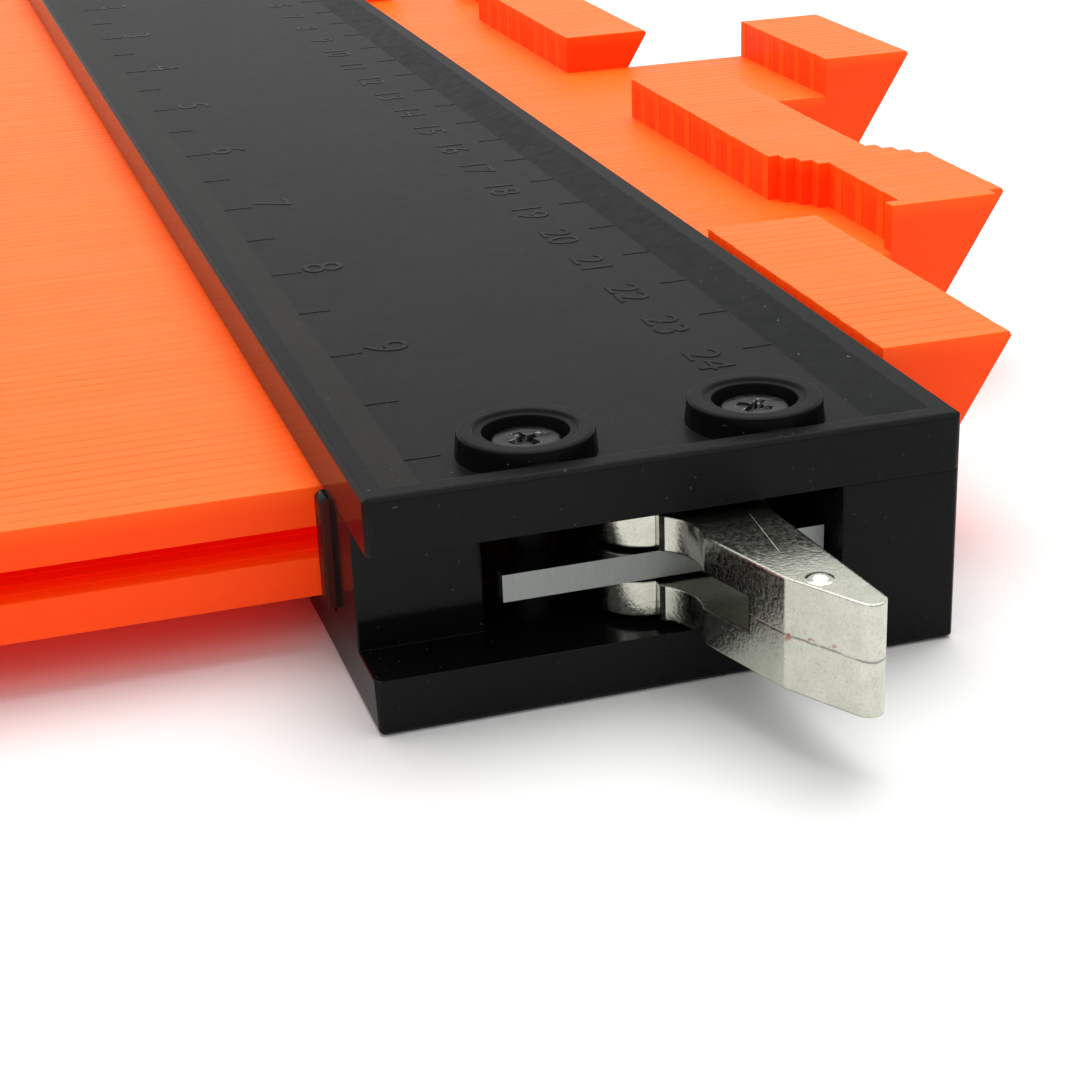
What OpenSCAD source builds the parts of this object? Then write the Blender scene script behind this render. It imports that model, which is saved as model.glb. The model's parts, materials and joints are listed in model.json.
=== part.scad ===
// Contour gauge. A long row of thin tines slides sideways between two covers.
// A flat steel bar runs the length of the casing through a slot in every tine,
// and a cam lever at one end squeezes the row to hold the shape it has copied.
// X is across the casing, towards the pointed heads. Y is along the row, away
// from the lock end. Z is up. The origin is the middle of the casing's underside.

/* [Casing] */
// Width of the casing across the tines
casing_w = 46; // [43:0.5:56]
// Length of the casing along the row
casing_l = 271; // [252:1:320]
// Height of the bottom cover's side
bottom_h = 4.5; // [4:0.1:6]
// Height of the top cover's side
top_h = 4.5; // [4.2:0.1:6]
// Thickness of the skin behind the ribs
skin_t = 1.5; // [1:0.1:1.9]
// Width of the two long rails that guide the tines
rail_w = 2.6; // [1.8:0.1:4]
// Thickness of the stiffening ribs
rib_t = 1.2; // [0.8:0.1:2]
// Spacing of the cross ribs
rib_pitch = 24; // [16:1:40]
// Radius of the upright corners
corner_r = 0.8; // [0.4:0.1:1.6]
// Chamfer along the top edges
edge_c = 0.35; // [0.2:0.05:0.6]
// How far the bottom cover's sides lean in
bottom_draft = 0.1; // [0.05:0.05:0.6]
// Chamfer along the bottom edges
foot_c = 0.4; // [0.2:0.05:0.8]

/* [Scale panel] */
// Depth of the scale panel below the rim
panel_d = 1; // [0.5:0.1:1.3]
// Width of the rim on the tail side
rim_left = 1.75; // [1:0.05:3]
// Width of the bevel on the tail side
bevel_left = 3.35; // [2:0.05:5]
// Width of the rim on the head side
rim_right = 2; // [1:0.05:3]
// Width of the bevel on the head side
bevel_right = 3.9; // [2:0.05:6]
// Width of the rim at both ends
rim_end = 1.8; // [1:0.05:2.4]

/* [End blocks] */
// Length of the blocks at the lock end
block_l = 12.7; // [12.4:0.1:15]
// Depth of the recess that takes the closed lever
recess_d = 5.4; // [4.6:0.1:5.6]
// Gap from the clamp bar's edge to a block
block_play = 0.6; // [0.4:0.1:1]
// Shortest length of the block at the far end
rear_min_l = 16; // [13:0.5:17]

/* [Tines] */
// Spacing of the tines
tine_pitch = 1.7; // [1.5:0.01:1.84]
// Gap between two tines
tine_gap = 0.03; // [0.02:0.01:0.06]
// Height of a tine's shaft
tine_h = 9.1; // [8.8:0.1:11]
// Length of a tine from tail to tip
tine_l = 121; // [116:1:135]
// Length of the head along its top
head_l = 11.6; // [10.6:0.1:14]
// Slant of the head's front, from upright
head_slant = 30.5; // [20:0.5:34]
// Flat at the point of the head
tip_flat = 0.4; // [0.2:0.1:0.8]
// Chamfer at the tail's corners
tail_c = 0.8; // [0.3:0.1:1.5]
// Gap from the casing's side to a head pushed right in
head_gap = 0.8; // [0.4:0.1:1.5]
// How far a tine can slide out
tine_travel = 58; // [46:1:60]
// Gap above and below a tine
tine_play = 0.3; // [0.2:0.05:0.4]
// Gap from the clamp bar to the slots that it runs through
slot_play = 0.2; // [0.15:0.05:0.3]
// Gap from the clamp bar's edge to the end of a tine's slot
slot_end_play = 0.4; // [0.2:0.1:0.8]

/* [Copied profile] */
// How far the heads stand out along the middle block
reach_middle = 42.6; // [38:0.2:45]
// How far they stand out along the flank nearer the lock
reach_near = 16.2; // [12:0.2:20]
// How far they stand out along the other flank
reach_far = 17; // [12:0.2:20]
// How far they stand out along the two outer lands
reach_land = 21; // [18:0.2:26]
// How far the heads fall from a land to a flank before the last step, as a share
step_share = 0.75; // [0.6:0.05:0.9]
// How far the outermost tine of a land falls back
land_notch = 1.5; // [0:0.1:4]

/* [Clamp bar] */
// Width of the bar
bar_w = 25.4; // [24:0.1:28]
// Thickness of the bar
bar_t = 2.2; // [1.8:0.1:2.4]
// How far the bar's ends lie inside the casing's ends
bar_inset = 2; // [1.6:0.1:2.2]

/* [Lock] */
// Distance of the lever's pin from the lock end
pivot_y = 6.15; // [5.9:0.05:6.3]
// Radius of the lever's pin
pin_r = 1.5; // [1.2:0.05:1.8]
// Radial running clearance of the lever on its pin
pin_play = 0.05; // [0.03:0.01:0.09]
// Radius of the cam
cam_r = 4; // [3.6:0.05:4.2]
// How far the closed cam pushes the pressure plate
cam_lift = 0.55; // [0.4:0.05:0.6]
// Gap between the open cam and the pressure plate
cam_play = 0.25; // [0.2:0.05:0.4]
// Gap above and below the lever
lever_play = 0.6; // [0.55:0.05:0.8]
// Gap between the clamp bar and each of the lever's two jaws
jaw_play = 0.3; // [0.2:0.05:0.4]
// Depth of the space between the jaws, from the pin
jaw_depth = 14.6; // [14:0.1:16]
// Distance from the pin to the middle of the lever's rounded tip
lever_reach = 23.5; // [22.6:0.1:26]
// Radius of the lever's tip
lever_tip_r = 1.1; // [0.8:0.05:1.3]
// How far the tip lies to the right of the pin
tip_x = 7.45; // [7:0.05:7.8]
// How far the lever's right side lies from the pin, beside it
shoulder_x = 6.8; // [6.2:0.1:7]
// Distance from the pin to the bend in the lever's left side
bend_reach = 18.4; // [17:0.1:19.5]
// How far the bend lies to the right of the pin
bend_x = 3.4; // [3:0.1:3.8]
// Radius of the hollow that clears the screw
neck_r = 4.1; // [3.8:0.1:4.4]
// Distance from the pin to the middle of that hollow
neck_reach = 8.3; // [8:0.1:8.6]
// How far the hollow's deepest point lies to the right of the pin
neck_x = 1; // [0.9:0.05:1.2]
// Distance from the pin to the heel
heel_reach = 5.3; // [5:0.1:5.6]
// How far the heel lies to the left of the pin
heel_x = 0.8; // [0.5:0.1:1]
// Radius of the small dome on the handle
dome_r = 1; // [0.7:0.05:1.3]
// Height of that dome
dome_h = 0.4; // [0.25:0.05:0.5]
// Distance of the dome from the lever's tip, towards the pin
dome_back = 4.1; // [3.6:0.1:5]
// Distance of the dome to the left of the tip
dome_side = 1.9; // [1.5:0.05:2.2]
// Thickness of the pressure plate
plate_t = 2.2; // [1.8:0.1:3]
// Width of the pads that face the cam
pad_w = 10; // [8:0.2:12]
// Gap in front of the pressure plate
plate_play = 0.2; // [0.15:0.05:0.3]
// How far the plate's ends stand out of the casing's sides
plate_proud = 0.65; // [0:0.05:1]
// Chamfer at the plate's upper corners
plate_c = 0.4; // [0.2:0.1:0.8]
// Gap left in the row of tines once the cam is closed
row_play = 0.1; // [0.05:0.05:0.3]

/* [Screws] */
// Distance of a screw from the casing's middle line
screw_x = 9.05; // [9:0.05:9.4]
// Distance of a screw from the casing's end
screw_y = 7; // [6.9:0.05:7.4]
// Radius of the screw's shank
screw_r = 1.5; // [1.2:0.05:1.5]
// Radius of the screw's head
screw_head_r = 2.72; // [2.4:0.02:3]
// Height of the screw's head
screw_head_h = 1.8; // [1.4:0.1:2.2]
// Depth of the screw's head below the top of its boss
head_sink = 0.85; // [0.4:0.05:1.2]
// Radius of the recess around the screw's head
counterbore_r = 3.3; // [3.2:0.05:3.6]
// Radius of the boss at its top
boss_r = 5.15; // [4.8:0.05:5.6]
// How much wider the boss is at its foot
boss_draft = 0.2; // [0.1:0.05:0.4]
// Height of the boss above the scale panel
boss_h = 2; // [1.6:0.1:2.6]
// Radius of the shallow step in the top of the boss
boss_step_r = 3.9; // [3.75:0.05:4.2]
// Depth of that step
boss_step_d = 0.25; // [0.1:0.05:0.4]
// Skin left under the screw's tip
screw_floor_t = 1.2; // [0.8:0.1:1.6]
// Radial clearance of a screw in the holes that it passes
screw_play = 0.15; // [0.1:0.05:0.2]

/* [Hidden] */
black_plastic = "#1c1d1e";
orange_plastic = "#ff6a1c";
bare_steel = "#9a9d9e";
nickel = "#c9c8c2";
black_steel = "#26272a";
round_fn = 48;
over = 1;
cross_w = 0.7;
cross_l = 2.9;
cross_d = 1.1;
thread_play = 0.05;
rib_columns = 3;

front = -casing_l / 2;
back = casing_l / 2;
side = casing_w / 2;
roof_z = bottom_h + 2 * tine_play + tine_h;
top_z = roof_z + top_h;
panel_z = top_z - panel_d;
mid_z = (bottom_h + roof_z) / 2;
bar_z0 = mid_z - bar_t / 2;
bar_z1 = mid_z + bar_t / 2;
tine_z0 = bottom_h + tine_play;
tine_z1 = roof_z - tine_play;
block_x = bar_w / 2 + block_play;
plate_y0 = front + block_l + plate_play;
plate_y1 = plate_y0 + plate_t;
tine_y0 = plate_y1 + cam_lift + row_play;
pivot = [0, front + pivot_y, 0];
lever_h = roof_z - bottom_h - 2 * lever_play;
jaw_gap = bar_t + 2 * jaw_play;
boss_z = panel_z + boss_h;
screw_seat_z = boss_z - head_sink - screw_head_h;
screw_points = [for (x = [-screw_x, screw_x], y = [front + screw_y, back - screw_y]) [x, y, 0]];

tine_count = floor((back - rear_min_l - tine_y0) / tine_pitch);
row_end = tine_y0 + tine_count * tine_pitch;
rear_y = row_end + row_play;

// Three steps lead down from a land to a flank
function step_reach(flank, step) = reach_land + (flank - reach_land) * step_share * step / 3;

// The copied profile, from the lock end. Each run is a number of tines, how many
// groups carry them, and how far their heads stand out. The last takes the rest.
profile = [
    [23, 8, 0],
    [1, 1, reach_land - land_notch],
    [10, 3, reach_land],
    [1, 1, step_reach(reach_near, 1)],
    [1, 1, step_reach(reach_near, 2)],
    [1, 1, step_reach(reach_near, 3)],
    [26, 8, reach_near],
    [17, 6, reach_middle],
    [26, 8, reach_far],
    [1, 1, step_reach(reach_far, 3)],
    [1, 1, step_reach(reach_far, 2)],
    [1, 1, step_reach(reach_far, 1)],
    [10, 3, reach_land],
    [1, 1, reach_land - land_notch],
];
last_run_groups = 6;
function tines_before(run) = run == 0 ? 0 : tines_before(run - 1) + profile[run - 1][0];
last_run = [tine_count - tines_before(len(profile)), last_run_groups, 0];
runs = concat(profile, [last_run]);
tine_groups = [
    for (r = [0 : len(runs) - 1], k = [0 : runs[r][1] - 1])
        let (
            first = tines_before(r) + floor(k * runs[r][0] / runs[r][1]),
            next = tines_before(r) + floor((k + 1) * runs[r][0] / runs[r][1])
        )
        [first, next - 1, runs[r][2]]
];
tine_names = [for (g = [1 : len(tine_groups)]) str("tines_", g < 10 ? "0" : "", g)];

// A flat X-Z shape drawn out along Y
module along_y(y0, y1) {
    translate([0, y1, 0]) rotate([90, 0, 0]) linear_extrude(y1 - y0) children();
}

// A flat Y-Z shape drawn out along X
module along_x(x0, x1) {
    translate([x0, 0, 0]) rotate([90, 0, 90]) linear_extrude(x1 - x0) children();
}

module block(low, high) {
    translate(low) cube(high - low);
}

// The casing's plan, with rounded upright corners
module plan() {
    square([casing_w - 2 * corner_r, casing_l], center = true);
    square([casing_w, casing_l - 2 * corner_r], center = true);
    for (x = [-1, 1], y = [-1, 1])
        translate([x * (side - corner_r), y * (back - corner_r)]) circle(corner_r, $fn = round_fn);
}

// Section of the top cover, chamfered along its top edges
module top_section(half) {
    polygon([
        [-half, roof_z], [half, roof_z], [half, top_z - edge_c],
        [half - edge_c, top_z], [edge_c - half, top_z], [-half, top_z - edge_c],
    ]);
}

// Section of the bottom cover, leaning in towards its chamfered underside
module bottom_section(half) {
    foot = half - bottom_draft;
    polygon([
        [foot_c - foot, 0], [foot - foot_c, 0], [foot, foot_c],
        [half, bottom_h], [-half, bottom_h], [-foot, foot_c],
    ]);
}

// Hollows between the stiffening ribs, from z0 to z1
module rib_hollows(z0, z1) {
    x0 = rail_w - side;
    column_w = (casing_w - 2 * rail_w - (rib_columns - 1) * rib_t) / rib_columns;
    rows = round((rear_y - tine_y0) / rib_pitch);
    row_l = (rear_y - tine_y0 - (rows + 1) * rib_t) / rows;
    for (c = [0 : rib_columns - 1], r = [0 : rows - 1])
        translate([x0 + c * (column_w + rib_t), tine_y0 + rib_t + r * (row_l + rib_t), z0])
            cube([column_w, row_l, z1 - z0]);
}

// The sunken scale panel with a bevel along each side
module scale_recess() {
    along_y(front + rim_end, back - rim_end) polygon([
        [rim_left - side, top_z + over], [rim_left - side, top_z],
        [rim_left + bevel_left - side, panel_z], [side - rim_right - bevel_right, panel_z],
        [side - rim_right, top_z], [side - rim_right, top_z + over],
    ]);
}

module screw_boss() {
    translate([0, 0, panel_z]) cylinder(boss_h, boss_r + boss_draft, boss_r, $fn = round_fn);
}

module screw_hole() {
    translate([0, 0, bar_z1 - over]) cylinder(top_z, r = screw_r + screw_play, $fn = round_fn);
    translate([0, 0, screw_seat_z]) cylinder(top_z, r = counterbore_r, $fn = round_fn);
    translate([0, 0, boss_z - boss_step_d]) cylinder(over, r = boss_step_r, $fn = round_fn);
}

module top_cover() {
    color(black_plastic) difference() {
        union() {
            difference() {
                intersection() {
                    translate([0, 0, roof_z]) linear_extrude(top_h) plan();
                    along_y(front, back) top_section(side);
                    along_x(-side, side) top_section(back);
                }
                scale_recess();
                rib_hollows(roof_z - over, panel_z - skin_t);
            }
            for (p = screw_points) translate(p) screw_boss();
            // Pad that holds the far end of the clamp bar down
            block(
                [-bar_w / 2, rear_y + plate_play, bar_z1],
                [bar_w / 2, back - bar_inset, roof_z + over]
            );
        }
        for (p = screw_points) translate(p) screw_hole();
    }
}

module bottom_cover() {
    color(black_plastic) difference() {
        union() {
            intersection() {
                linear_extrude(bottom_h) plan();
                along_y(front, back) bottom_section(side);
                along_x(-side, side) bottom_section(back);
            }
            intersection() {
                translate([0, 0, bottom_h - over]) linear_extrude(roof_z - bottom_h + over) plan();
                end_blocks();
            }
        }
        rib_hollows(skin_t, bottom_h + over);
        for (p = screw_points) translate([p.x, p.y, screw_floor_t])
            cylinder(bar_z0, r = screw_r + thread_play, $fn = round_fn);
    }
}

// Blocks that carry the top cover: two at the lock end, one around the bar's far end
module end_blocks() {
    block([-side, front + recess_d, bottom_h], [-block_x, front + block_l, roof_z]);
    block([block_x, front, bottom_h], [side, front + block_l, roof_z]);
    block([-side, rear_y, bottom_h], [-block_x, back, roof_z]);
    block([block_x, rear_y, bottom_h], [side, back, roof_z]);
    block([-side, rear_y, bottom_h], [side, back, bar_z0]);
    block([-side, back - bar_inset, bottom_h], [side, back, roof_z]);
}

module clamp_bar() {
    color(bare_steel) difference() {
        block([-bar_w / 2, front + bar_inset, bar_z0], [bar_w / 2, back - bar_inset, bar_z1]);
        for (p = screw_points) translate([p.x, p.y, bar_z0 - over])
            cylinder(bar_t + 2 * over, r = screw_r + screw_play, $fn = round_fn);
        translate([pivot.x, pivot.y, bar_z0 - over])
            cylinder(bar_t + 2 * over, r = pin_r + pin_play / 2, $fn = round_fn);
    }
}

// Plan of the lever standing open, with its pin at the origin. The cam sits off
// centre, so that it pushes towards the row as the handle swings to the left.
module lever_plan() {
    heel = [-heel_x, -heel_reach];
    neck_middle = [neck_x - neck_r, -neck_reach];
    neck_start = neck_middle + [0.9 * neck_r, 0.4 * neck_r];
    neck_end = neck_middle + [0.96 * neck_r, -0.37 * neck_r];
    bend = [bend_x, -bend_reach];
    tip = [tip_x, -lever_reach];
    tip_side = tip - lever_tip_r * [0.88, 0.48];
    shoulder = [shoulder_x, -cam_r / 3];
    nape = [0.75 * cam_r, 0.4 * cam_r];
    difference() {
        union() {
            translate([-cam_lift, 0]) circle(cam_r, $fn = 2 * round_fn);
            translate(tip) circle(lever_tip_r, $fn = round_fn);
            polygon([
                [heel.x, -cam_r / 2], heel, neck_start, neck_end, bend, tip_side,
                tip, tip + [lever_tip_r, 0], shoulder, nape,
            ]);
        }
        translate(neck_middle) circle(neck_r, $fn = 2 * round_fn);
    }
}

module lock_lever() {
    lever_z0 = mid_z - lever_h / 2;
    dome_at = [tip_x - dome_side, dome_back - lever_reach];
    dome_ball_r = (dome_r * dome_r + dome_h * dome_h) / (2 * dome_h);
    color(nickel) translate(pivot) difference() {
        union() {
            translate([0, 0, lever_z0]) linear_extrude(lever_h) lever_plan();
            translate([dome_at.x, dome_at.y, lever_z0 + lever_h + dome_h - dome_ball_r])
                sphere(dome_ball_r, $fn = round_fn);
        }
        block([-2 * cam_r, -jaw_depth, mid_z - jaw_gap / 2], [3 * cam_r, 2 * cam_r, mid_z + jaw_gap / 2]);
        cylinder(top_z, r = pin_r + pin_play, $fn = round_fn);
    }
}

module lever_pin() {
    pin_l = lever_h - 2 * pin_play;
    color(bare_steel) translate([pivot.x, pivot.y, mid_z - pin_l / 2]) cylinder(pin_l, r = pin_r, $fn = round_fn);
}

// Slab that meets the first tine, with two pads that reach forward to the cam
module pressure_plate() {
    plate_x = side + plate_proud;
    pad_y = pivot.y + cam_r + cam_play;
    color(black_plastic) difference() {
        union() {
            along_y(plate_y0, plate_y1) polygon([
                [-plate_x, tine_z0], [plate_x, tine_z0], [plate_x, tine_z1 - plate_c],
                [plate_x - plate_c, tine_z1], [plate_c - plate_x, tine_z1], [-plate_x, tine_z1 - plate_c],
            ]);
            block([-pad_w / 2, pad_y, tine_z0], [pad_w / 2, plate_y0 + plate_t / 2, tine_z1]);
        }
        block(
            [-bar_w / 2 - slot_play, pad_y - over, bar_z0 - slot_play],
            [bar_w / 2 + slot_play, plate_y1 + over, bar_z1 + slot_play]
        );
    }
}

// Pan head screw with a cross recess
module cover_screw() {
    head_z = screw_seat_z + screw_head_h;
    difference() {
        union() {
            translate([0, 0, screw_seat_z]) cylinder(screw_head_h, r = screw_head_r, $fn = round_fn);
            translate([0, 0, screw_floor_t]) cylinder(screw_seat_z - screw_floor_t, r = screw_r, $fn = round_fn);
        }
        for (a = [0, 90]) rotate([0, 0, a]) translate([-cross_l / 2, -cross_w / 2, head_z - cross_d])
            cube([cross_l, cross_w, 2 * cross_d]);
    }
}

module cover_screws() {
    color(black_steel) for (p = screw_points) translate(p) cover_screw();
}

// Side view of a tine pushed right in: a slotted shaft, and a pointed head that
// stands as high as the casing
module tine_outline() {
    back_x = side + head_gap;
    point_x = back_x + head_l;
    tail_x = point_x - tine_l;
    foot_x = point_x - (top_z - tine_z0) * tan(head_slant);
    slot_x0 = -bar_w / 2 - slot_end_play - tine_travel;
    slot_x1 = bar_w / 2 + slot_end_play;
    difference() {
        polygon([
            [tail_x + tail_c, tine_z0], [foot_x, tine_z0], [point_x, top_z - tip_flat],
            [point_x - tip_flat * tan(head_slant), top_z], [back_x, top_z], [back_x, tine_z1],
            [tail_x + tail_c, tine_z1], [tail_x, tine_z1 - tail_c], [tail_x, tine_z0 + tail_c],
        ]);
        translate([slot_x0, bar_z0 - slot_play]) square([slot_x1 - slot_x0, bar_t + 2 * slot_play]);
    }
}

module tine_group(group) {
    color(orange_plastic) for (i = [group[0] : group[1]]) {
        y = tine_y0 + i * tine_pitch;
        translate([group[2], 0, 0]) along_y(y, y + tine_pitch - tine_gap) tine_outline();
    }
}

top_cover();
bottom_cover();
clamp_bar();
lock_lever();
lever_pin();
pressure_plate();
cover_screws();
for (g = [0 : len(tine_groups) - 1])
    tine_group(tine_groups[g]);
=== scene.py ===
import json
import math
import bmesh
import bpy
from mathutils import Matrix, Vector


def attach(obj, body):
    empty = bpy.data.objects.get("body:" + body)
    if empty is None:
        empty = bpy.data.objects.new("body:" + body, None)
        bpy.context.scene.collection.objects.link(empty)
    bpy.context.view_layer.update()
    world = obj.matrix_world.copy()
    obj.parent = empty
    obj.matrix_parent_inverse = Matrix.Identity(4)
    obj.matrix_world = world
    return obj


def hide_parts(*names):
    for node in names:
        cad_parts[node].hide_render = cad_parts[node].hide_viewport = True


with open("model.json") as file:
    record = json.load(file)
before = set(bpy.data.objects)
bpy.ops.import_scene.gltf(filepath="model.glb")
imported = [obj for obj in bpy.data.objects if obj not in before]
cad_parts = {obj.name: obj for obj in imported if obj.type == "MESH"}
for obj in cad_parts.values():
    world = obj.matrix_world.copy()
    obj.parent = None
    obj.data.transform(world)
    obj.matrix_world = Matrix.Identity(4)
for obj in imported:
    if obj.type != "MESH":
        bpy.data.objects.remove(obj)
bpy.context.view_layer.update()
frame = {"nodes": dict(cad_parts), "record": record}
mm = 0.001
scene = bpy.context.scene
topZ, roofZ, panelZ, midZ = 18.7, 14.2, 17.7, 9.35   # levels of the casing, in mm
halfL, sideX = 135.5, 23.0

# helpers

def selectOnly(obj):
    if bpy.context.object and bpy.context.object.mode != "OBJECT":
        bpy.ops.object.mode_set(mode="OBJECT")
    bpy.ops.object.select_all(action="DESELECT")
    obj.select_set(True)
    bpy.context.view_layer.objects.active = obj

def applyAll(obj):
    selectOnly(obj)
    for mod in list(obj.modifiers):
        bpy.ops.object.modifier_apply(modifier=mod.name)

def addBevel(obj, width, segments=2, angle=30):
    mod = obj.modifiers.new("edge", "BEVEL")
    mod.width = width * mm
    mod.segments = segments
    mod.limit_method = "ANGLE"
    mod.angle_limit = math.radians(angle)
    mod.use_clamp_overlap = True
    mod.loop_slide = False
    mod.miter_outer = "MITER_ARC"

def smoothBy(obj, angle):
    selectOnly(obj)
    bpy.ops.object.shade_smooth_by_angle(angle=math.radians(angle))

def setMaterial(obj, mat):
    obj.data.materials.clear()
    obj.data.materials.append(mat)

def roundLoop(obj, width, segments, test):
    # a wider rounding for the edges whose ends pass the test
    group = obj.vertex_groups.new(name="loop")
    group.add([v.index for v in obj.data.vertices if test(v.co / mm)], 1, "REPLACE")
    mod = obj.modifiers.new("loop", "BEVEL")
    mod.limit_method = "VGROUP"
    mod.vertex_group = "loop"
    mod.width = width * mm
    mod.segments = segments
    applyAll(obj)
    obj.vertex_groups.clear()

def evenNormals(obj, crease=()):
    # broad faces keep their flat shading and only the rounded edges blend
    # upright edges at the crease points stay sharp
    selectOnly(obj)
    bpy.ops.object.shade_smooth()
    verts = obj.data.vertices
    for edge in obj.data.edges if crease else ():
        ends = [verts[i].co / mm for i in edge.vertices]
        edge.use_edge_sharp = any(all(math.hypot(e.x - x, e.y - y) < 0.05 for e in ends) for x, y in crease)
    mod = obj.modifiers.new("flat", "WEIGHTED_NORMAL")
    mod.weight = 100
    mod.keep_sharp = True
    applyAll(obj)

def dressNode(node, mat, width, segments=2, angle=30, whole=True, merge=0.002,
              shape=None, loop=None, crease=()):
    # a copy of a CAD node with its edges rounded, and its flat faces made whole where they have no holes
    source = bpy.data.objects[node]
    obj = bpy.data.objects.new("dress_" + node, source.data.copy())
    scene.collection.objects.link(obj)
    for vert in obj.data.vertices if shape else ():
        shape(vert)
    selectOnly(obj)
    bpy.ops.object.mode_set(mode="EDIT")
    bpy.ops.mesh.select_all(action="SELECT")
    bpy.ops.mesh.remove_doubles(threshold=merge * mm)
    bpy.ops.mesh.customdata_custom_splitnormals_clear()
    if whole:
        bpy.ops.mesh.dissolve_limited(angle_limit=math.radians(0.6))
    bpy.ops.mesh.normals_make_consistent(inside=False)
    bpy.ops.object.mode_set(mode="OBJECT")
    if loop:
        roundLoop(obj, *loop)
    addBevel(obj, width, segments, angle)
    applyAll(obj)
    evenNormals(obj, crease)
    setMaterial(obj, mat)
    return obj

def joinAll(parts, name):
    selectOnly(parts[0])
    for part in parts:
        part.select_set(True)
    bpy.ops.object.join()
    whole = bpy.context.object
    whole.name = name
    return whole

def bodyOf(node):
    for body, nodes in frame["record"]["behaviour"]["bodies"].items():
        if node in nodes:
            return body
    return None

# material building blocks

def newMaterial(name):
    mat = bpy.data.materials.new(name)
    mat.use_nodes = True
    tree = mat.node_tree
    shader = tree.nodes["Principled BSDF"]
    coords = tree.nodes.new("ShaderNodeTexCoord")
    return mat, tree, shader, coords.outputs["Object"]

def noiseNode(tree, vector, scale, detail=3, rough=0.55):
    node = tree.nodes.new("ShaderNodeTexNoise")
    node.inputs["Scale"].default_value = scale
    node.inputs["Detail"].default_value = detail
    node.inputs["Roughness"].default_value = rough
    tree.links.new(vector, node.inputs["Vector"])
    return node.outputs["Fac"]

def stretch(tree, vector, scale):
    node = tree.nodes.new("ShaderNodeMapping")
    node.inputs["Scale"].default_value = scale
    tree.links.new(vector, node.inputs["Vector"])
    return node.outputs["Vector"]

def rampNode(tree, value, stops):
    node = tree.nodes.new("ShaderNodeValToRGB")
    ramp = node.color_ramp
    while len(ramp.elements) < len(stops):
        ramp.elements.new(0.5)
    for element, (place, colour) in zip(ramp.elements, stops):
        element.position = place
        element.color = (*colour, 1) if len(colour) == 3 else colour
    tree.links.new(value, node.inputs["Fac"])
    return node.outputs["Color"]

def rangeNode(tree, value, fromLow, fromHigh, toLow, toHigh):
    node = tree.nodes.new("ShaderNodeMapRange")
    for key, number in (("From Min", fromLow), ("From Max", fromHigh), ("To Min", toLow), ("To Max", toHigh)):
        node.inputs[key].default_value = number
    tree.links.new(value, node.inputs["Value"])
    return node.outputs["Result"]

def mathNode(tree, kind, a, b):
    node = tree.nodes.new("ShaderNodeMath")
    node.operation = kind
    for slot, value in zip(node.inputs, (a, b)):
        if hasattr(value, "is_linked"):
            tree.links.new(value, slot)
        else:
            slot.default_value = value
    return node.outputs["Value"]

def mixColours(tree, factor, a, b, kind="MIX"):
    node = tree.nodes.new("ShaderNodeMix")
    node.data_type = "RGBA"
    node.blend_type = kind
    for slot, value in ((node.inputs[0], factor), (node.inputs[6], a), (node.inputs[7], b)):
        if hasattr(value, "is_linked"):
            tree.links.new(value, slot)
        elif isinstance(value, (int, float)):
            slot.default_value = value
        else:
            slot.default_value = (*value, 1)
    return node.outputs[2]

def bumpNode(tree, height, strength, distance, rim=0):
    node = tree.nodes.new("ShaderNodeBump")
    node.inputs["Strength"].default_value = strength
    node.inputs["Distance"].default_value = distance
    tree.links.new(height, node.inputs["Height"])
    if rim:   # edges worn round
        worn = tree.nodes.new("ShaderNodeBevel")
        worn.samples = 8
        worn.inputs["Radius"].default_value = rim
        tree.links.new(worn.outputs["Normal"], node.inputs["Normal"])
    return node.outputs["Normal"]

# black moulded ABS: fine spark grain, faint flow clouds and a few pale dust specks
casing = {"dark": (0.0079, 0.0087, 0.0084), "light": (0.0096, 0.0103, 0.0100),
          "dust": (0.11, 0.11, 0.10), "rim": 0.00025}

def blackPlastic(name, roughLow, roughHigh, specular, dustAmount, tint=(1, 1, 1)):
    mat, tree, shader, place = newMaterial(name)
    clouds = noiseNode(tree, place, 90, 3)
    grain = noiseNode(tree, place, 5200, 2)
    specks = noiseNode(tree, place, 2600, 1)
    dark = tuple(a * b for a, b in zip(casing["dark"], tint))
    light = tuple(a * b for a, b in zip(casing["light"], tint))
    base = rampNode(tree, clouds, [(0.35, dark), (0.7, light)])
    dust = rangeNode(tree, specks, 0.76, 0.78, 0, dustAmount)
    tree.links.new(mixColours(tree, dust, base, casing["dust"]), shader.inputs["Base Color"])
    sheen = noiseNode(tree, place, 700, 3)
    tree.links.new(rangeNode(tree, sheen, 0.3, 0.7, roughLow, roughHigh), shader.inputs["Roughness"])
    tree.links.new(bumpNode(tree, grain, 0.3, 0.00002, casing["rim"]), shader.inputs["Normal"])
    shader.inputs["Specular IOR Level"].default_value = specular
    return mat

# orange ABS: saturated, a little uneven, with light scuffs along the blade
orange = {"deep": (0.94, 0.07, 0.002), "main": (0.98, 0.085, 0.003), "pale": (1.0, 0.1, 0.004),
          "glow": (0.9, 0.002, 0.0), "lit": (1.0, 0.17, 0.008), "fade": 0.0016, "topGap": 0.3}

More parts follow.
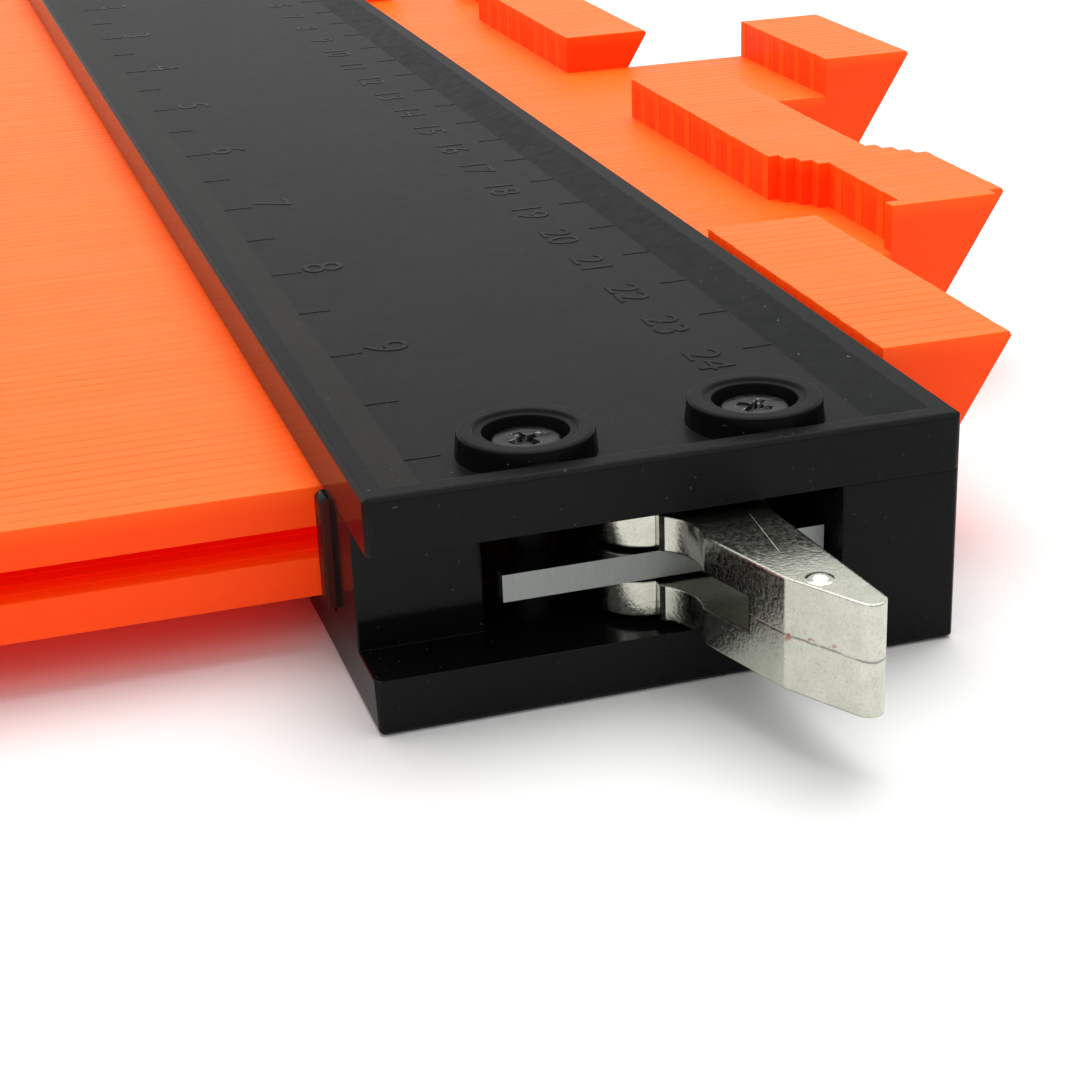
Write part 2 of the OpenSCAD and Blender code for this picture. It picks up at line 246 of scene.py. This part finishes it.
def orangePlastic(name, glow):
    mat, tree, shader, place = newMaterial(name)
    along = stretch(tree, place, (0.06, 1, 1))
    clouds = noiseNode(tree, place, 45, 3)
    streaks = noiseNode(tree, along, 900, 3)
    tone = tree.nodes.new("ShaderNodeAttribute")
    tone.attribute_name = "tone"
    mixed = mathNode(tree, "ADD", mathNode(tree, "MULTIPLY", clouds, 0.5),
                     mathNode(tree, "MULTIPLY", tone.outputs["Fac"], 0.5))
    base = rampNode(tree, mixed, [(0.1, orange["deep"]), (0.5, orange["main"]), (0.95, orange["pale"])])
    # painted glow: a lighter colour painted on the upper edge of the shaft and of the head, where daylight soaks in
    spot = tree.nodes.new("ShaderNodeSeparateXYZ")
    tree.links.new(place, spot.inputs[0])
    headX = tree.nodes.new("ShaderNodeAttribute")
    headX.attribute_name = "headX"
    shaftTop, headTop = (roofZ - orange["topGap"]) * mm, topZ * mm
    onShaft = rangeNode(tree, spot.outputs[2], shaftTop - orange["fade"], shaftTop, 0, 0.6)
    onHead = rangeNode(tree, spot.outputs[2], headTop - orange["fade"], headTop, 0, 0.6)
    behind = mathNode(tree, "LESS_THAN", spot.outputs[0], headX.outputs["Fac"])
    paintedGlow = mathNode(tree, "MAXIMUM", mathNode(tree, "MULTIPLY", onShaft, behind), onHead)
    tree.links.new(mixColours(tree, paintedGlow, base, orange["lit"]), shader.inputs["Base Color"])
    tree.links.new(rangeNode(tree, streaks, 0.3, 0.7, 0.4, 0.52), shader.inputs["Roughness"])
    grain = mathNode(tree, "ADD", mathNode(tree, "MULTIPLY", streaks, 0.6),
                     mathNode(tree, "MULTIPLY", noiseNode(tree, place, 4200, 2), 0.4))
    tree.links.new(bumpNode(tree, grain, 0.2, 0.00002), shader.inputs["Normal"])
    shader.inputs["Specular IOR Level"].default_value = 0.16
    shader.inputs["Emission Color"].default_value = (*orange["glow"], 1)
    shader.inputs["Emission Strength"].default_value = glow   # painted glow, standing in for light that seeps through the thin blades
    shader.inputs["Subsurface Weight"].default_value = 0.35
    shader.inputs["Subsurface Scale"].default_value = 0.003
    shader.inputs["Subsurface Radius"].default_value = (1.0, 0.15, 0.05)
    return mat

# nickel plated casting: bright, speckled with pits, and red rouge left on the parting line
nickel = {"bright": (0.62, 0.625, 0.54), "dull": (0.54, 0.545, 0.46), "pit": (0.16, 0.16, 0.15),
          "rouge": (0.33, 0.07, 0.04), "scratch": (0.0051, -0.14003, 0.0035), "lean": 0.0928,
          "scratchZ": 0.0133, "waver": 0.00018, "rim": 0.00028}

def nickelPlate():
    mat, tree, shader, place = newMaterial("nickelPlate")
    clouds = noiseNode(tree, place, 500, 3)
    pebble = noiseNode(tree, place, 3200, 3, 0.6)
    pits = noiseNode(tree, place, 2800, 2)
    base = rampNode(tree, clouds, [(0.3, nickel["dull"]), (0.6, nickel["bright"])])
    fine = rangeNode(tree, noiseNode(tree, place, 5200, 2), 0.34, 0.5, 0.2, 0)
    base = mixColours(tree, fine, base, nickel["pit"])
    base = mixColours(tree, rangeNode(tree, pits, 0.68, 0.76, 0, 0.45), base, nickel["pit"])
    axes = tree.nodes.new("ShaderNodeSeparateXYZ")
    tree.links.new(place, axes.inputs[0])
    waver = rangeNode(tree, noiseNode(tree, place, 800, 3), 0, 1, midZ * mm - nickel["waver"], midZ * mm + nickel["waver"])
    offLine = mathNode(tree, "ABSOLUTE", mathNode(tree, "SUBTRACT", axes.outputs[2], waver), 0)
    line = rangeNode(tree, offLine, 0.00004, 0.00012, 1, 0)
    broken = rangeNode(tree, noiseNode(tree, place, 350, 2), 0.34, 0.44, 0, 1)
    line = mathNode(tree, "MULTIPLY", line, broken)
    near = rangeNode(tree, offLine, 0.0002, 0.0009, 1, 0)
    patches = rangeNode(tree, noiseNode(tree, place, 1500, 2), 0.6, 0.68, 0, 0.75)
    blotch = mathNode(tree, "MULTIPLY", near, patches)
    base = mixColours(tree, mathNode(tree, "MULTIPLY", line, 0.75), base, nickel["pit"])
    base = mixColours(tree, blotch, base, nickel["rouge"])
    # one hairline scratch along the top of the handle
    atX, atY, halfLength = nickel["scratch"]
    along = mathNode(tree, "SUBTRACT", axes.outputs[1], atY)
    drift = mathNode(tree, "SUBTRACT", mathNode(tree, "SUBTRACT", axes.outputs[0], atX),
                     mathNode(tree, "MULTIPLY", along, nickel["lean"]))
    hair = rangeNode(tree, mathNode(tree, "ABSOLUTE", drift, 0), 0.000015, 0.00004, 0.8, 0)
    within = mathNode(tree, "LESS_THAN", mathNode(tree, "ABSOLUTE", along, 0), halfLength)
    onTop = mathNode(tree, "GREATER_THAN", axes.outputs[2], nickel["scratchZ"])
    hair = mathNode(tree, "MULTIPLY", mathNode(tree, "MULTIPLY", hair, within), onTop)
    tree.links.new(base, shader.inputs["Base Color"])
    shader.inputs["Metallic"].default_value = 1
    rough = mathNode(tree, "ADD", rangeNode(tree, pebble, 0.35, 0.65, 0.13, 0.24),
                     mathNode(tree, "MULTIPLY", hair, 0.35))
    tree.links.new(rough, shader.inputs["Roughness"])
    height = mathNode(tree, "ADD", pebble, mathNode(tree, "MULTIPLY", clouds, 0.5))
    height = mathNode(tree, "SUBTRACT", height, mathNode(tree, "MULTIPLY", line, 0.8))
    height = mathNode(tree, "SUBTRACT", height, hair)
    tree.links.new(bumpNode(tree, height, 0.4, 0.00005, nickel["rim"]), shader.inputs["Normal"])
    return mat

# zinc plated strip: grey, drawn lengthwise, sheared end face with fine upright lines
strip = {"dark": (0.38, 0.4, 0.39), "light": (0.46, 0.48, 0.46)}

def zincStrip(name, roughLow, roughHigh, metallic, grainAxes, shade):
    mat, tree, shader, place = newMaterial(name)
    drawn = noiseNode(tree, stretch(tree, place, grainAxes), 3600, 3)
    dark = tuple(shade * v for v in strip["dark"])
    light = tuple(shade * v for v in strip["light"])
    base = rampNode(tree, drawn, [(0.3, dark), (0.7, light)])
    tree.links.new(base, shader.inputs["Base Color"])
    shader.inputs["Metallic"].default_value = metallic
    tree.links.new(rangeNode(tree, drawn, 0.3, 0.7, roughLow, roughHigh), shader.inputs["Roughness"])
    tree.links.new(bumpNode(tree, drawn, 0.25, 0.00002), shader.inputs["Normal"])
    return mat

# black oxide steel in two noise-mixed colours: lighter worn oxide on the heads and pin, painted glints in the driver
# recess, and darker painted shade on the shanks
oxide = {"dark": (0.008, 0.008, 0.008), "worn": (0.035, 0.035, 0.034), "bare": (0.02, 0.02, 0.02),
         "bright": (0.7, 0.7, 0.68), "deep": (0.004, 0.004, 0.004)}

def blackSteel(name, low, high, roughLow, roughHigh):
    mat, tree, shader, place = newMaterial(name)
    rub = noiseNode(tree, place, 1500, 3)
    base = rampNode(tree, rub, [(0.5, oxide[low]), (0.75, oxide[high])])
    tree.links.new(base, shader.inputs["Base Color"])
    shader.inputs["Metallic"].default_value = 0.8
    tree.links.new(rangeNode(tree, rub, 0.3, 0.7, roughLow, roughHigh), shader.inputs["Roughness"])
    tree.links.new(bumpNode(tree, noiseNode(tree, place, 3000, 2), 0.25, 0.00002), shader.inputs["Normal"])
    return mat

coverMat = blackPlastic("coverPlastic", 0.34, 0.42, 0.07, 0.5)
sideMat = blackPlastic("sidePlastic", 0.1, 0.16, 0.05, 0.3)
# leftBevelPlastic is tinted brownish: painted reflection of the orange tines on the left bevel
leftBevelMat = blackPlastic("leftBevelPlastic", 0.45, 0.47, 0.04, 0.7, (1.4, 1.2, 1))
# rightBevelPlastic is darker: painted shade on the right bevel
rightBevelMat = blackPlastic("rightBevelPlastic", 0.4, 0.5, 0.04, 1, (0.8, 0.85, 0.85))
trayMat = blackPlastic("trayPlastic", 0.22, 0.32, 0.06, 0.4)
panelMat = blackPlastic("panelPlastic", 0.4, 0.43, 0.035, 0.5)
# ledgePlastic is darker: painted shade on the bottom cover's low upward faces
ledgeMat = blackPlastic("ledgePlastic", 0.08, 0.16, 0.2, 0.6, (0.35, 0.37, 0.37))
# blockPlastic is darker: painted shade on the set-back front face of the left end block
blockMat = blackPlastic("blockPlastic", 0.08, 0.14, 0.12, 0.5, (0.4, 0.42, 0.42))
# plateEndPlastic is reddish brown: painted reflection of the orange tines on the pressure plate's end
plateEndMat = blackPlastic("plateEndPlastic", 0.3, 0.4, 0.04, 0.3, (10, 2, 1.5))
# bossPlastic is darker: painted shade on the boss walls and on the raised scale marks
bossMat = blackPlastic("bossPlastic", 0.25, 0.32, 0.03, 0.5, (0.5, 0.52, 0.52))
lowSideMat = blackPlastic("lowSidePlastic", 0.05, 0.09, 0.012, 0.3)
# the tines glow by emission, a painted glow; the slot faces get a copy with a weaker glow, which is painted shade
# inside the slot
orangeMat = orangePlastic("orangePlastic", 0.25)
slotMat = orangePlastic("orangeSlot", 0.1)
nickelMat = nickelPlate()
zincMat = zincStrip("zincStrip", 0.1, 0.2, 1, (1, 0.03, 1), 1)
shearMat = zincStrip("shearedEnd", 0.5, 0.65, 0.9, (1, 1, 0.3), 0.8)
steelMat = blackSteel("blackSteel", "dark", "worn", 0.24, 0.4)
paintedGlintMat = blackSteel("paintedGlintSteel", "bare", "bright", 0.15, 0.25)
# shankSteel is darker: painted shade on the shanks down in the recess and bores
shankMat = blackSteel("shankSteel", "deep", "dark", 0.5, 0.6)
print("materials ready")

lever = {"bend": (3.4, -147.75), "away": (-0.8771, -0.4803), "pipY": -148, "pipZ": (12, 13.2),
         "grooveX": -0.8, "grooveY": (-134.8, -134.1)}
boss = {"x": 9.05, "y": 128.5, "boreR": 4.4, "footZ": 17.75, "rimZ": 19.6, "rim": 0.4}

def flushFace(vert):
    # the ball of the dome stands a hair out of the handle's left face, and is laid flush
    x, y, z = vert.co / mm
    out = sum((a - b) * n for a, b, n in zip((x, y), lever["bend"], lever["away"]))
    if out > 0 and y < lever["pipY"] and lever["pipZ"][0] < z < lever["pipZ"][1]:
        vert.co.x -= out * lever["away"][0] * mm
        vert.co.y -= out * lever["away"][1] * mm

def fromBoss(c):
    return math.hypot(abs(c.x) - boss["x"], abs(c.y) - boss["y"])

# covers, bar, plate, pin and lever
dressed = {
    "top_cover": {"mat": coverMat, "width": 0.14, "angle": 10,
                  "loop": (boss["rim"], 10, lambda v: v.z > boss["rimZ"])},
    "bottom_cover": {"mat": trayMat, "width": 0.25, "segments": 3},
    "clamp_bar": {"mat": zincMat, "width": 0.12},
    "pressure_plate": {"mat": trayMat, "width": 0.12},
    "lever_pin": {"mat": steelMat, "width": 0.15},
    "lock_lever": {"mat": nickelMat, "width": 0.25, "segments": 3, "merge": 0.06,
                   "shape": flushFace, "crease": [lever["bend"]]},
}
for node, settings in dressed.items():
    piece = dressNode(node, **settings)
    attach(piece, bodyOf(node))
    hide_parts(node)

def paintFaces(name, rules):
    # each rule is a material and a test on a face's normal and middle
    mesh = bpy.data.objects[name].data
    for mat, test in rules:
        mesh.materials.append(mat)
        for face in mesh.polygons:
            if test(face.normal, face.center / mm):
                face.material_index = len(mesh.materials) - 1

paintFaces("dress_top_cover", [
    (sideMat, lambda n, c: abs(n.x) > 0.8),
    (panelMat, lambda n, c: n.z > 0.8),
    # painted shade on the boss walls
    (bossMat, lambda n, c: abs(n.z) < 0.5 and boss["footZ"] < c.z < boss["rimZ"] and fromBoss(c) > boss["boreR"]),
    # painted orange reflection on the left bevel
    (leftBevelMat, lambda n, c: 0.15 < n.x < 0.4 and c.x < -17 and c.z > 17.5),
    # painted shade on the right bevel
    (rightBevelMat, lambda n, c: -0.4 < n.x < -0.15 and c.x > 16 and c.z > 17.5),
])
paintFaces("dress_bottom_cover", [
    (lowSideMat, lambda n, c: abs(n.x) > 0.8 and abs(c.x) > sideX - 1),
    # painted shade on the low upward faces
    (ledgeMat, lambda n, c: n.z > 0.8 and c.z < 6),
    # painted shade on the set-back block face
    (blockMat, lambda n, c: n.y < -0.8 and c.x < 0 and c.y > -134),
])
# painted orange reflection on the pressure plate's front end
paintFaces("dress_pressure_plate", [(plateEndMat, lambda n, c: n.y < -0.7 and -123 < c.y < -122)])
paintFaces("dress_lock_lever", [   # the groove between cam and neck is painted in dark steel: painted shade in the crease
    (steelMat, lambda n, c: n.x < -0.5 and abs(n.z) < 0.5 and abs(c.x - lever["grooveX"]) < 0.25
     and lever["grooveY"][0] < c.y < lever["grooveY"][1]),
])
paintFaces("dress_clamp_bar", [(shearMat, lambda n, c: abs(n.y) > 0.7)])
print("frame pieces ready")

# tines: each blade gets rounded edges, its own shade, and stands a hair off its neighbours
tine = {"edge": 0.07, "headL": 11.6, "slotHalf": 1.34, "tailWall": 3, "liftSpread": 0.018, "pullSpread": 0.03}
tineNodes = sorted(n for n in frame["nodes"] if n.startswith("tines_"))
for node in tineNodes:
    piece = dressNode(node, orangeMat, tine["edge"], whole=False)
    tail = min(v.co.x for v in piece.data.vertices) / mm + tine["tailWall"]
    # slot faces take the copy with the weaker painted glow: painted shade inside the slot
    paintFaces(piece.name, [(slotMat, lambda n, c: abs(n.y) < 0.5 and abs(c.z - midZ) < tine["slotHalf"] and c.x > tail)])
    for name in ("tone", "headX"):
        piece.data.attributes.new(name, "FLOAT", "POINT")
    form = bmesh.new()
    form.from_mesh(piece.data)
    layer, headLayer = (form.verts.layers.float[name] for name in ("tone", "headX"))
    left = set(form.verts)
    lowX, highX = (pick(v.co.x for v in form.verts) for pick in (min, max))
    while left:
        seed = min(left, key=lambda v: (round(v.co.y, 6), v.index))
        blade, queue = {seed}, [seed]
        while queue:
            vert = queue.pop()
            for edge in vert.link_edges:
                other = edge.other_vert(vert)
                if other not in blade:
                    blade.add(other)
                    queue.append(other)
        left -= blade
        wave = seed.co.y * 7919.0
        shade = 0.5 + 0.5 * math.sin(wave * 1.7)
        for vert in blade:
            vert[layer] = shade
            vert[headLayer] = highX - tine["headL"] * mm
            vert.co.z += tine["liftSpread"] * mm * math.sin(wave * 2.3)
            vert.co.x = min(max(vert.co.x + tine["pullSpread"] * mm * math.sin(wave * 3.1), lowX), highX)
    form.to_mesh(piece.data)
    form.free()
    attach(piece, bodyOf(node))
    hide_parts(node)
print("tines ready")

# screws: pan head with a crossed driver recess, on a plain shank
screw = {"headR": 2.72, "seatZ": 17.05, "topZ": 18.85, "shankR": 1.5, "footZ": 1.2, "round": 0.35,
         "cross": (3.3, 0.85, 1.7), "crossDown": 0.35, "taper": 0.55, "crossR": 1.85,
         "turns": {(-1, -1): 20, (1, -1): 45, (-1, 1): 70, (1, 1): 8}}

def addRod(at, radius, low, high, sides):
    bpy.ops.object.select_all(action="DESELECT")
    bpy.ops.mesh.primitive_cylinder_add(vertices=sides, radius=radius * mm, depth=(high - low) * mm,
                                        location=(at[0] * mm, at[1] * mm, (high + low) / 2 * mm))
    bpy.ops.object.transform_apply(location=True, rotation=True, scale=True)
    return bpy.context.object

def makeScrew(at, turn):
    head = addRod(at, screw["headR"], screw["seatZ"], screw["topZ"], 48)
    addBevel(head, screw["round"], 3, 60)
    applyAll(head)
    cutters = []
    for angle in (0, 90):
        bpy.ops.mesh.primitive_cube_add(size=1, rotation=(0, 0, math.radians(angle + turn)),
                                        location=(at[0] * mm, at[1] * mm, (screw["topZ"] - screw["crossDown"]) * mm))
        cutter = bpy.context.object
        cutter.scale = [v * mm for v in screw["cross"]]
        bpy.ops.object.transform_apply(location=True, rotation=True, scale=True)
        low = min(v.co.z for v in cutter.data.vertices)
        for vert in cutter.data.vertices:   # the recess narrows as it goes down
            if vert.co.z < low + 0.0001:
                vert.co.x = at[0] * mm + (vert.co.x - at[0] * mm) * screw["taper"]
                vert.co.y = at[1] * mm + (vert.co.y - at[1] * mm) * screw["taper"]
        cutters.append(cutter)
    for cutter in cutters:
        mod = head.modifiers.new("cross", "BOOLEAN")
        mod.operation = "DIFFERENCE"
        mod.solver = "EXACT"
        mod.object = cutter
        applyAll(head)
    for cutter in cutters:
        bpy.data.objects.remove(cutter, do_unlink=True)
    addBevel(head, 0.06, 2, 40)
    applyAll(head)
    return [head, addRod(at, screw["shankR"], screw["footZ"], screw["seatZ"], 32)]

screwParts = []
for (sx, sy), turn in screw["turns"].items():
    screwParts += makeScrew((sx * boss["x"], sy * boss["y"]), turn)
screws = joinAll(screwParts, "dress_cover_screws")
smoothBy(screws, 35)
setMaterial(screws, steelMat)
paintFaces(screws.name, [
    # painted glints in the driver recess
    (paintedGlintMat, lambda n, c: screw["seatZ"] + 0.1 < c.z and n.z < 0.97 and fromBoss(c) < screw["crossR"]),
    # painted shade on the shanks
    (shankMat, lambda n, c: c.z < screw["seatZ"] - 0.1),
])
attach(screws, "casing")
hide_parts("cover_screws")
print("screws ready")

# scale: raised ticks and numbers moulded with the panel
scale = {"rise": 0.035, "sunk": 0.02, "zeroY": 262.9, "inchX": -17.9, "inchTick": 2.8, "cmX": 17.1, "cmTick": 2.6,
         "tickW": 0.26, "inchText": 3.9, "inchTextX": -14.7, "cmText": 3.2, "cmTextX": 9.4, "capShare": 0.72, "lastY": 14}
markParts = []

def addTick(x0, x1, y):
    middleZ = panelZ + scale["rise"] / 2 - scale["sunk"]
    bpy.ops.mesh.primitive_cube_add(size=1, location=((x0 + x1) / 2 * mm, (y - halfL) * mm, middleZ * mm))
    tick = bpy.context.object
    tick.scale = ((x1 - x0) * mm, scale["tickW"] * mm, (scale["rise"] + 2 * scale["sunk"]) * mm)
    bpy.ops.object.transform_apply(location=True, rotation=True, scale=True)
    addBevel(tick, 0.05, 2)
    applyAll(tick)
    markParts.append(tick)

def addNumber(words, x, y, size):
    bpy.ops.object.text_add(location=(x * mm, (y - halfL) * mm, (panelZ - scale["sunk"]) * mm),
                            rotation=(0, 0, math.radians(-90)))
    label = bpy.context.object
    label.data.body = words
    label.data.size = size / scale["capShare"] * mm
    label.data.extrude = (scale["rise"] + scale["sunk"]) / 2 * mm
    label.data.resolution_u = 6
    label.data.align_x = "CENTER"
    label.scale.x = 1.2
    bpy.ops.object.convert(target="MESH")
    label = bpy.context.object
    bpy.ops.object.transform_apply(location=True, rotation=True, scale=True)
    low = min(v.co.z for v in label.data.vertices)
    for vert in label.data.vertices:
        vert.co.z += (panelZ - scale["sunk"]) * mm - low
    markParts.append(label)

for half in range(0, 21):
    y = scale["zeroY"] - half * 12.7
    addTick(scale["inchX"], scale["inchX"] + scale["inchTick"], y)
    if half % 2 == 0 and 0 < half < 20:
        addNumber(str(half // 2), scale["inchTextX"], y + 0.8, scale["inchText"])
for cm in range(0, 26):
    y = scale["zeroY"] - cm * 10
    if y > scale["lastY"]:
        addTick(scale["cmX"] - scale["cmTick"], scale["cmX"], y)
        if cm > 0:
            addNumber(str(cm), scale["cmTextX"], y - 1.6, scale["cmText"])
marks = joinAll(markParts, "scale_marks")
smoothBy(marks, 30)
# the marks take the darker boss plastic: painted shade on the raised scale
setMaterial(marks, bossMat)
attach(marks, "casing")
print("scale ready")

# stage
bpy.ops.object.select_all(action="DESELECT")
bpy.ops.mesh.primitive_plane_add(size=24)
floor = bpy.context.object
floor.name = "floor"
floorMat, tree, shader, place = newMaterial("paleFloor")
paper = rampNode(tree, noiseNode(tree, place, 30, 2),
                 [(0.3, (0.8, 0.8, 0.795)), (0.7, (0.815, 0.815, 0.81))])
tree.links.new(paper, shader.inputs["Base Color"])
reach = tree.nodes.new("ShaderNodeVectorMath")
reach.operation = "LENGTH"
tree.links.new(place, reach.inputs[0])
# the floor fades to white away from the gauge, for the camera only
far = rangeNode(tree, reach.outputs["Value"], 0.4, 0.9, 0, 1)
byCamera = tree.nodes.new("ShaderNodeLightPath").outputs["Is Camera Ray"]
tree.links.new(mathNode(tree, "MULTIPLY", far, byCamera), shader.inputs["Emission Strength"])
shader.inputs["Emission Color"].default_value = (1, 1, 1, 1)
shader.inputs["Roughness"].default_value = 0.7
shader.inputs["Specular IOR Level"].default_value = 0.15
setMaterial(floor, floorMat)

world = bpy.data.worlds.new("studio")
scene.world = world
world.use_nodes = True
sky = world.node_tree
# a soft box of white walls: brighter behind and above, dimmer behind the camera
ways = sky.nodes.new("ShaderNodeSeparateXYZ")
sky.links.new(sky.nodes.new("ShaderNodeTexCoord").outputs["Generated"], ways.inputs[0])
lift = mathNode(sky, "MULTIPLY", ways.outputs[2], 0.25)
depth = mathNode(sky, "MULTIPLY", ways.outputs[1], 0.35)
across = mathNode(sky, "MULTIPLY", ways.outputs[0], 0.1)
level = mathNode(sky, "ADD", mathNode(sky, "ADD", lift, depth), mathNode(sky, "ADD", across, 0.58))
seen = sky.nodes.new("ShaderNodeLightPath").outputs["Is Camera Ray"]
sky.links.new(mathNode(sky, "MAXIMUM", level, seen), sky.nodes["Background"].inputs["Strength"])
sky.nodes["Background"].inputs["Color"].default_value = (1, 1, 0.995, 1)

def addLight(name, place, target, size, power):
    bpy.ops.object.light_add(type="AREA", location=place)
    lamp = bpy.context.object
    lamp.name = name
    lamp.data.shape = "RECTANGLE"
    lamp.data.size, lamp.data.size_y = size
    lamp.data.energy = power
    lamp.rotation_euler = (Vector(target) - Vector(place)).to_track_quat("-Z", "Y").to_euler()

addLight("keyLight", (0.15, 0.15, 0.95), (0, -0.05, 0), (0.9, 0.9), 9.5)
addLight("sideLight", (-0.7, -0.75, 0.7), (0, -0.1, 0), (0.7, 0.5), 1.6)

# camera: fitted to the casing's edges
camData = bpy.data.cameras.new("camera")
camera = bpy.data.objects.new("camera", camData)
scene.collection.objects.link(camera)
camData.sensor_width = 36
camData.lens = 74.47
camData.clip_start = 0.01
camera.matrix_world = Matrix(((0.9543, 0.1486, -0.2593, -0.05176),
                              (-0.2968, 0.3708, -0.8800, -0.27614),
                              (-0.0346, 0.9168, 0.3979, 0.07729),
                              (0, 0, 0, 1)))
scene.camera = camera
scene.view_settings.view_transform = "Standard"
print("stage ready")

bpy.ops.object.select_all(action="DESELECT")
